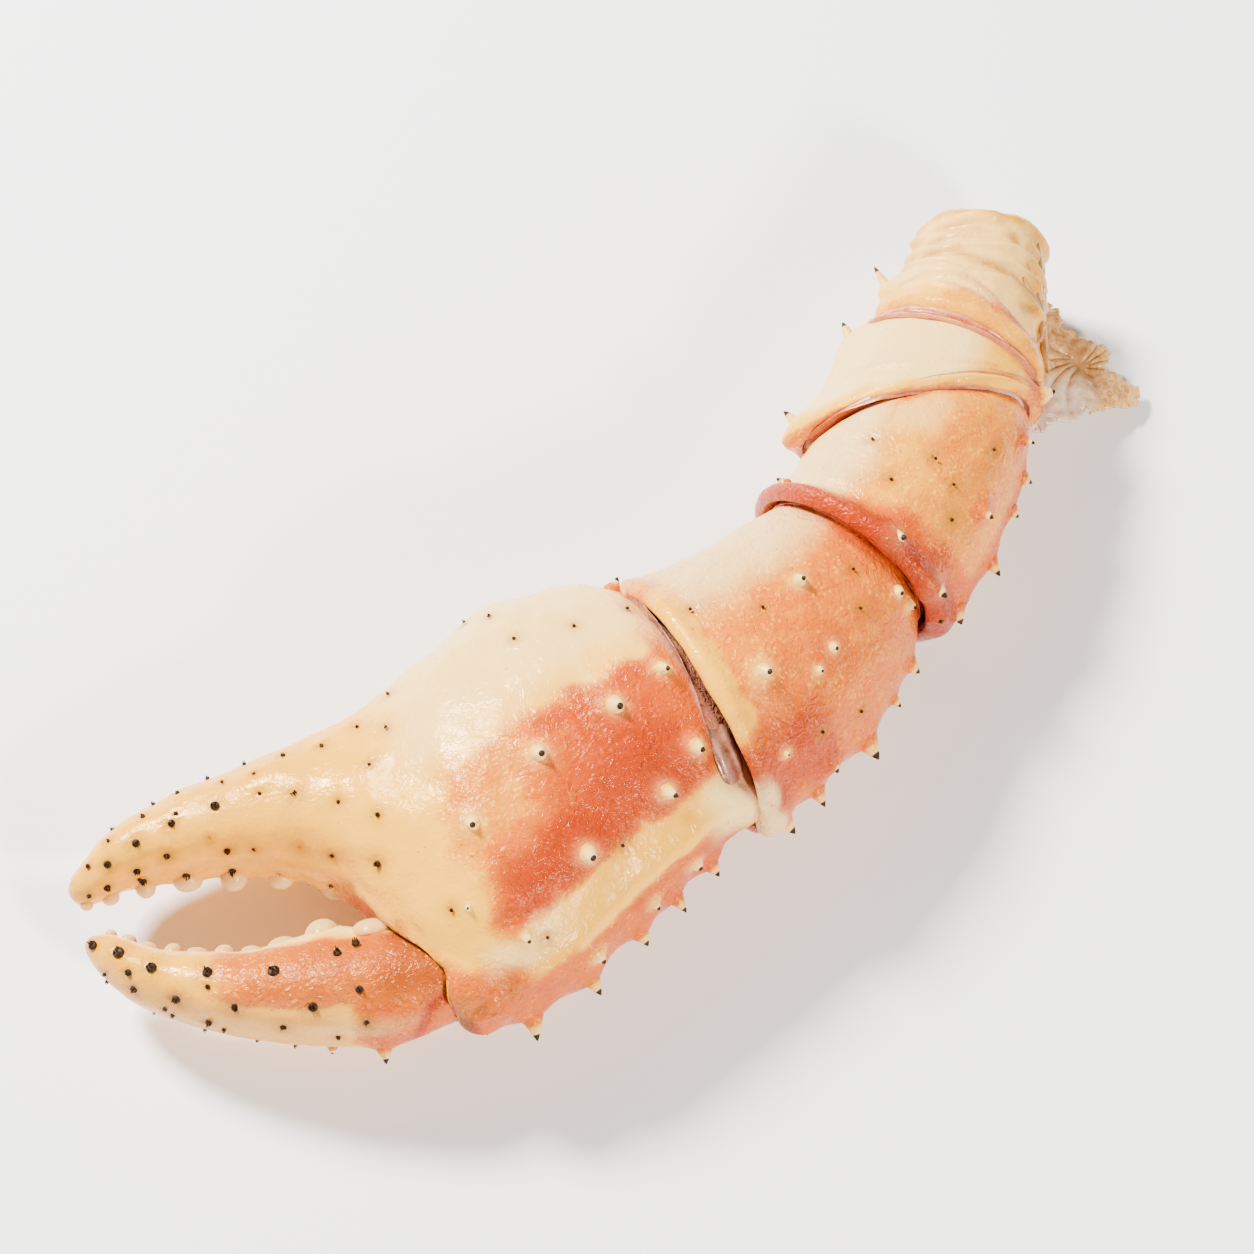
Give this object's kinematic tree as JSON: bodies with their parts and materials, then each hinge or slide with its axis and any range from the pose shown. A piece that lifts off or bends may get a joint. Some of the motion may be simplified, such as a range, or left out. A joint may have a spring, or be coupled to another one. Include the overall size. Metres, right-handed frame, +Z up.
{
  "type": "crab claw",
  "caption": "Cooked spiny crab claw with its jointed arm, lying flat with the fingers apart and torn membrane at the cut end.",
  "frame": {"origin": "middle of the claw's bounding box at the height of the surface it lies on", "axes": "+Z up from the flat spots it rests on; +X along its longest extent, from the fingertips towards the cut end of the arm; +Y towards the cut end, away from the movable finger"},
  "size_m": [0.2183, 0.1819, 0.0498],
  "materials": {
    "shell": "wet cooked shell, orange fading to cream, with black spine tips",
    "pale_shell": "wet cooked shell, cream with orange edges, dark pits and grey-brown tips",
    "membrane": "smooth damp joint membrane, greyish pink",
    "torn_tissue": "creased tan membrane, drying at its ragged edge",
    "flesh": "moist fibrous white flesh with a pink skin"
  },
  "bodies": {
    "root": {"propodus": "shell", "dactylus": "pale_shell", "carpus": "shell", "merus": "shell", "ischium": "shell", "coxa": "pale_shell", "membrane_finger": "membrane", "membrane_wrist": "membrane", "membrane_elbow": "membrane", "membrane_ischium": "membrane", "membrane_coxa": "membrane", "torn_flap": "torn_tissue", "flesh": "flesh"}
  },
  "joints": []
}
